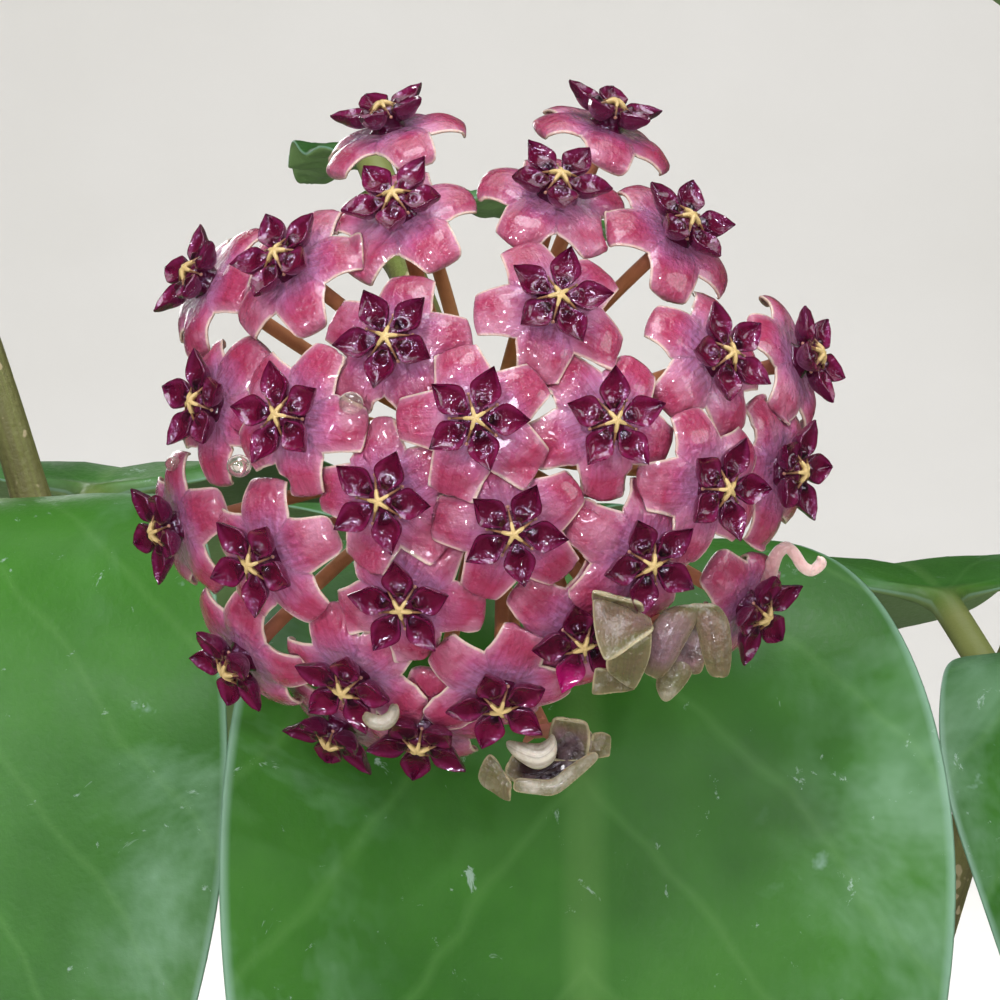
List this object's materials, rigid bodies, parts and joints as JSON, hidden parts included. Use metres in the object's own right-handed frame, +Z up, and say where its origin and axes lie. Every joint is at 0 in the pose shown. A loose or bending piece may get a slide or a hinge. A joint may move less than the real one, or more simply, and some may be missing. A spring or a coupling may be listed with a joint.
{
  "type": "potted hoya plant",
  "caption": "Flowering hoya in a plain clay pot: twining stems, thick opposite leaves and an umbel of star-shaped rose blooms with maroon coronas.",
  "frame": {"origin": "middle of the flat underside of the pot, on the surface that it stands on", "axes": "+Z up; -Y towards the viewer that the umbel faces; +X to that viewer's right"},
  "size_m": [0.3692, 0.2602, 0.4172],
  "materials": {
    "pot": "matt fired clay",
    "potting_mix": "matt, crumbly bark and peat",
    "stem": "satin green-brown bark",
    "leaf": "waxy semi-gloss",
    "petal": "waxy gloss",
    "corona": "high gloss",
    "fading_petal": "satin"
  },
  "bodies": {
    "root": {"pot": "pot", "potting_mix": "potting_mix", "stem_1": "stem", "stem_2": "stem", "stem_3": "stem", "leaf_01": "leaf", "leaf_02": "leaf", "leaf_03": "leaf", "leaf_04": "leaf", "leaf_05": "leaf", "leaf_06": "leaf", "leaf_07": "leaf", "leaf_08": "leaf", "leaf_09": "leaf", "leaf_10": "leaf", "leaf_11": "leaf", "leaf_12": "leaf", "leaf_13": "leaf", "leaf_14": "leaf", "leaf_15": "leaf", "leaf_16": "leaf", "leaf_17": "leaf", "leaf_18": "leaf", "leaf_19": "leaf", "leaf_20": "leaf", "corona_01": "corona", "corona_02": "corona", "corona_03": "corona", "corona_04": "corona", "corona_05": "corona", "corona_06": "corona", "corona_07": "corona", "corona_08": "corona", "corona_09": "corona", "corona_10": "corona", "corona_11": "corona", "corona_12": "corona", "corona_13": "corona", "corona_14": "corona", "corona_15": "corona", "corona_16": "corona", "corona_17": "corona", "corona_18": "corona", "corona_19": "corona", "corona_20": "corona", "corona_21": "corona", "corona_22": "corona", "corona_23": "corona", "corona_24": "corona", "corona_25": "corona", "corona_26": "corona", "corona_27": "corona", "corona_28": "corona", "corona_29": "corona", "corona_30": "corona", "spent_bloom_1": "fading_petal", "spent_bloom_2": "fading_petal", "spent_bloom_3": "fading_petal", "umbel": "petal"}
  },
  "joints": []
}
